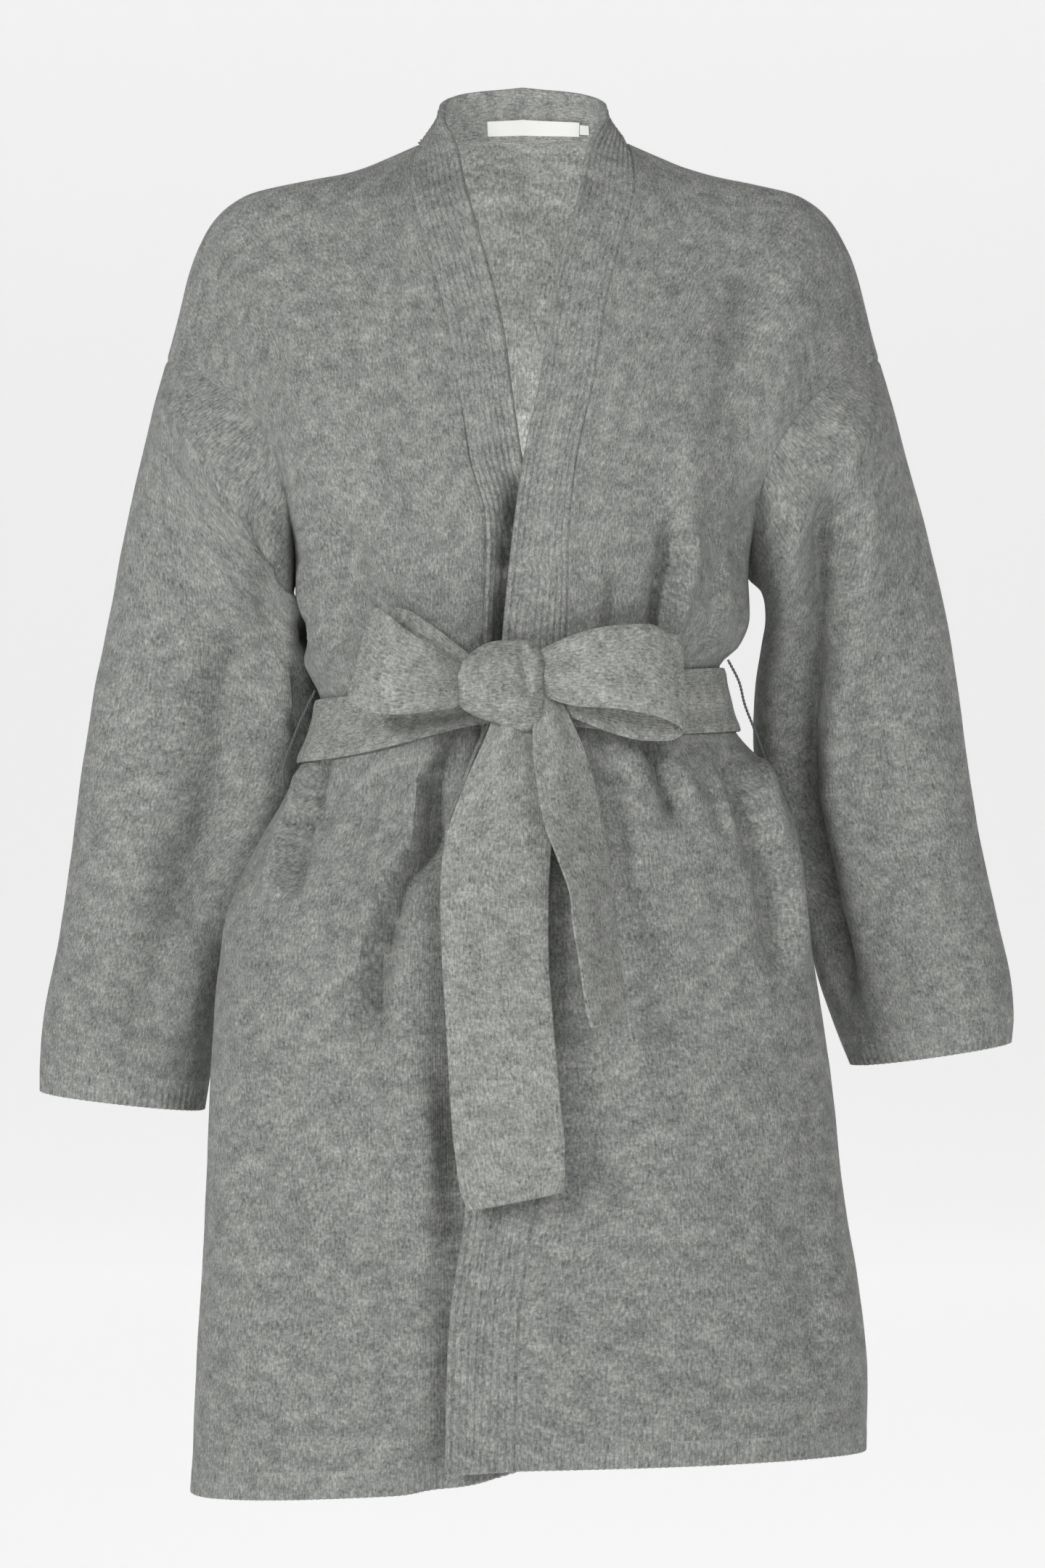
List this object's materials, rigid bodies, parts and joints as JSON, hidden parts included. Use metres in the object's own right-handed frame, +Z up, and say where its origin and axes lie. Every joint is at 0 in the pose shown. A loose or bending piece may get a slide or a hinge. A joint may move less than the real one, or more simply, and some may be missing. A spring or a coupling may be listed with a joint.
{
  "type": "belted cardigan",
  "caption": "Long open-front wool cardigan with drop shoulders, ribbed hem, cuffs and front band, tied at the waist by a belt in a bow, held in its worn shape.",
  "frame": {"origin": "midway between the two neck points of the shoulders, where the wearer's shoulders hold the garment up", "axes": "+Z up, -Y out of the front, +X to the viewer's right, which is the wearer's left"},
  "size_m": [0.6812, 0.2957, 0.9701],
  "materials": {
    "wool": "matte felted wool jersey with light and dark grey flecks",
    "rib": "matte wool rib",
    "belt": "matte double wool jersey",
    "thread": "matte thread",
    "label": "smooth white woven tape"
  },
  "bodies": {
    "root": {"back": "wool", "front_left": "wool", "front_right": "wool", "sleeve_left": "wool", "sleeve_right": "wool", "band": "rib", "belt_wrap": "belt", "bow_left": "belt", "bow_right": "belt", "knot": "belt", "tail_left": "belt", "tail_right": "belt", "belt_loop_left": "thread", "belt_loop_right": "thread", "neck_label": "label"}
  },
  "joints": []
}
